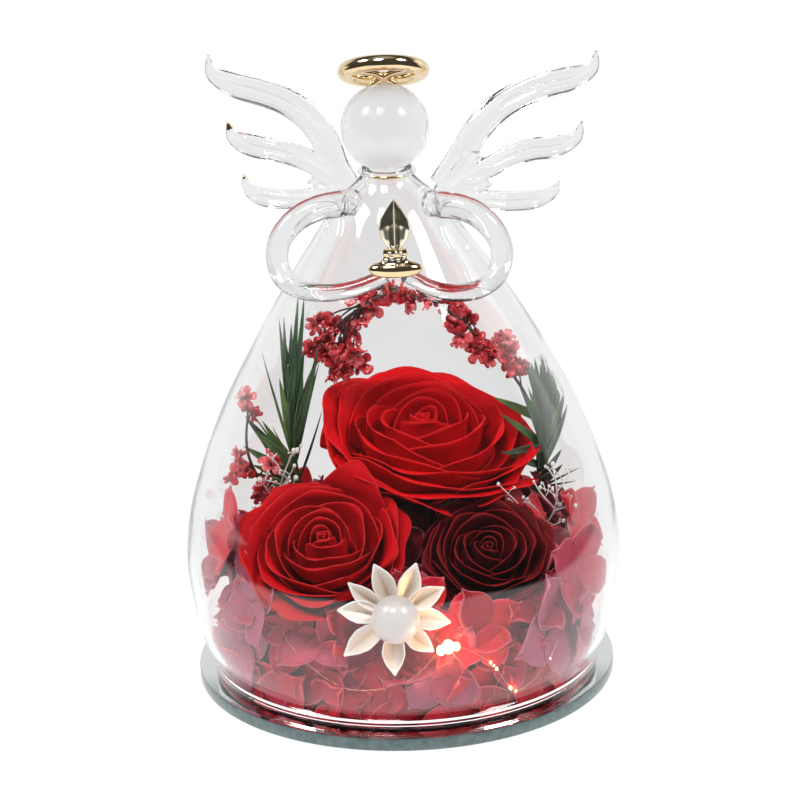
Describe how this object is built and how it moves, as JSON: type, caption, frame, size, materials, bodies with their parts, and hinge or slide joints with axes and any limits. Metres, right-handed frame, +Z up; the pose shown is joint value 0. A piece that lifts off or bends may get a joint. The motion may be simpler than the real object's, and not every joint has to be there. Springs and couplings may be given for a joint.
{
  "type": "preserved rose in glass dome",
  "caption": "Preserved roses with hydrangea, leaves, a pearl brooch and fairy lights under a clear blown-glass angel-shaped dome on a round mirror plate.",
  "frame": {"origin": "centre of the underside of the round mirror plate, on the surface it stands on", "axes": "+Z up, the front with the folded hands and the brooch towards -Y, +X to the right seen from the front"},
  "size_m": [0.131, 0.1318, 0.1958],
  "materials": {
    "mirror": "silvered glass plate with a grey-green polished edge",
    "clear_glass": "clear blown and lampworked glass",
    "gold_lustre": "bright gold lustre over glass",
    "red_petal": "velvety preserved rose petal, bright red",
    "dark_petal": "velvety preserved rose petal, burgundy",
    "hydrangea_petal": "thin veined preserved hydrangea petal, rose red",
    "blossom": "small dried blossoms, red",
    "leaf": "preserved leaf, dark green, slight gloss",
    "stem": "dry green stem",
    "white_twig": "bleached twig, matte",
    "foam": "dry floral foam",
    "enamel": "cream enamel with a fine bright rim",
    "pearl": "pearl lustre",
    "copper_wire": "fine lacquered copper wire",
    "warm_lamp": "small warm-white lamp in a clear resin bead"
  },
  "bodies": {
    "root": {"mirror_plate": "mirror", "glass_dome": "clear_glass", "neck_collar": "gold_lustre", "glass_head": "clear_glass", "halo_ring": "gold_lustre", "wing_left": "clear_glass", "wing_right": "clear_glass", "arm_left": "clear_glass", "arm_right": "clear_glass", "gilt_cuff": "gold_lustre", "praying_hands": "gold_lustre", "foam_block": "foam", "top_rose_heart": "red_petal", "top_rose_inner_petal_1": "red_petal", "top_rose_inner_petal_2": "red_petal", "top_rose_inner_petal_3": "red_petal", "top_rose_middle_petal_1": "red_petal", "top_rose_middle_petal_2": "red_petal", "top_rose_middle_petal_3": "red_petal", "top_rose_outer_petal_1": "red_petal", "top_rose_outer_petal_2": "red_petal", "top_rose_outer_petal_3": "red_petal", "top_rose_outer_petal_4": "red_petal", "top_rose_stem": "stem", "left_rose_heart": "red_petal", "left_rose_inner_petal_1": "red_petal", "left_rose_inner_petal_2": "red_petal", "left_rose_inner_petal_3": "red_petal", "left_rose_middle_petal_1": "red_petal", "left_rose_middle_petal_2": "red_petal", "left_rose_middle_petal_3": "red_petal", "left_rose_outer_petal_1": "red_petal", "left_rose_outer_petal_2": "red_petal", "left_rose_outer_petal_3": "red_petal", "left_rose_stem": "stem", "dark_rose_heart": "dark_petal", "dark_rose_inner_petal_1": "dark_petal", "dark_rose_inner_petal_2": "dark_petal", "dark_rose_inner_petal_3": "dark_petal", "dark_rose_middle_petal_1": "dark_petal", "dark_rose_middle_petal_2": "dark_petal", "dark_rose_middle_petal_3": "dark_petal", "dark_rose_outer_petal_1": "dark_petal", "dark_rose_outer_petal_2": "dark_petal", "dark_rose_outer_petal_3": "dark_petal", "dark_rose_stem": "stem", "hydrangea_front": "hydrangea_petal", "hydrangea_right": "hydrangea_petal", "hydrangea_back": "hydrangea_petal", "hydrangea_left": "hydrangea_petal", "blossom_branch_left": "blossom", "blossom_branch_right": "blossom", "blossom_sprig_left": "blossom", "leaf_spray_left": "leaf", "leaf_spray_right": "leaf", "white_twig_left": "white_twig", "white_twig_right": "white_twig", "brooch_flower": "enamel", "brooch_pearl": "pearl", "light_wire": "copper_wire"}
  },
  "joints": []
}
